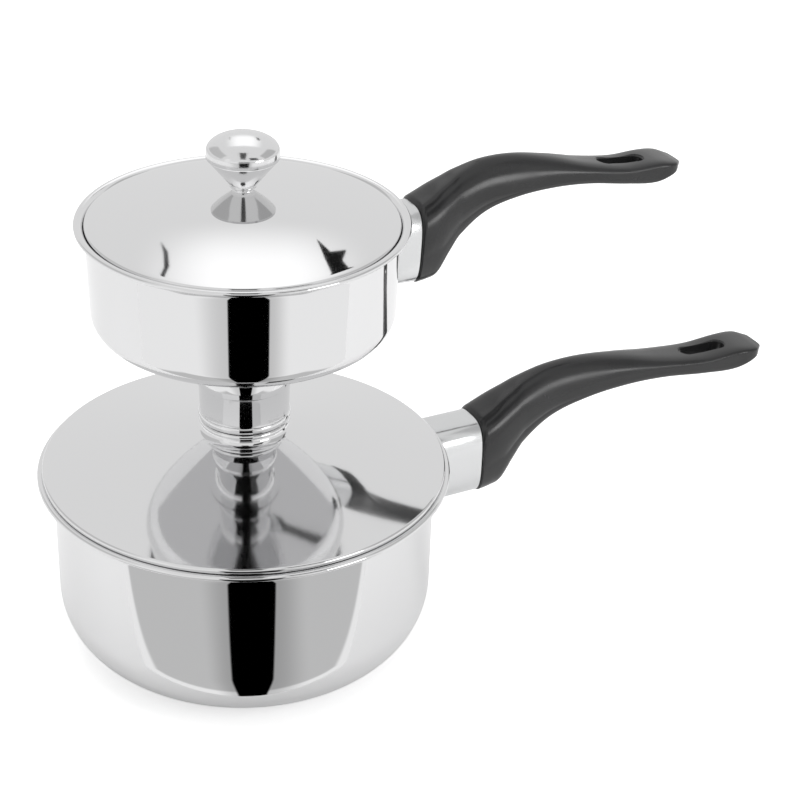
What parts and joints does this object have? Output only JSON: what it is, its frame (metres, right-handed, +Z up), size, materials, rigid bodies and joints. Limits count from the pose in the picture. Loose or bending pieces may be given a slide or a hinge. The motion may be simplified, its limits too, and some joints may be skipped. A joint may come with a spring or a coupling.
{
  "type": "couscous steamer",
  "caption": "Stovetop couscous steamer: a lower pot closed by a steam funnel, an upper pan whose collar slips over its neck, a perforated plate, a knobbed lid and gooseneck handles.",
  "frame": {"origin": "centre of the lower pot's flat base, on the hob", "axes": "+Z up through the stack's axis, +X along both handles, away from the pans"},
  "size_m": [0.4009, 0.198, 0.2635],
  "materials": {
    "mirror_steel": "mirror-polished stainless steel",
    "satin_steel": "satin stainless steel",
    "plain_steel": "plain zinc-bright steel",
    "black_phenolic": "moulded black phenolic, semi-gloss"
  },
  "bodies": {
    "pot": {"lower_pot": "mirror_steel", "lower_handle_stud": "plain_steel", "lower_ferrule": "satin_steel", "lower_handle": "black_phenolic", "lower_handle_washer": "plain_steel", "lower_handle_screw": "plain_steel"},
    "funnel": {"steam_funnel": "mirror_steel"},
    "pan": {"upper_pan": "mirror_steel", "pan_collar": "mirror_steel", "upper_handle_stud": "plain_steel", "upper_ferrule": "satin_steel", "upper_handle": "black_phenolic", "upper_handle_washer": "plain_steel", "upper_handle_screw": "plain_steel"},
    "sieve": {"sieve_plate": "mirror_steel"},
    "cover": {"lid": "mirror_steel", "knob_skirt": "mirror_steel", "knob_body": "mirror_steel", "knob_cap": "mirror_steel", "knob_washer": "plain_steel", "knob_screw": "plain_steel"}
  },
  "joints": [
    {"name": "funnel_lift", "type": "slide", "parent": "pot", "child": "funnel", "axis": [0, 0, 1], "range_m": [0, 0.05]},
    {"name": "pan_lift", "type": "slide", "parent": "funnel", "child": "pan", "axis": [0, 0, 1], "range_m": [0, 0.05]},
    {"name": "sieve_lift", "type": "slide", "parent": "pan", "child": "sieve", "axis": [0, 0, 1], "range_m": [0, 0.035]},
    {"name": "lid_lift", "type": "slide", "parent": "pan", "child": "cover", "axis": [0, 0, 1], "range_m": [0, 0.06]}
  ]
}
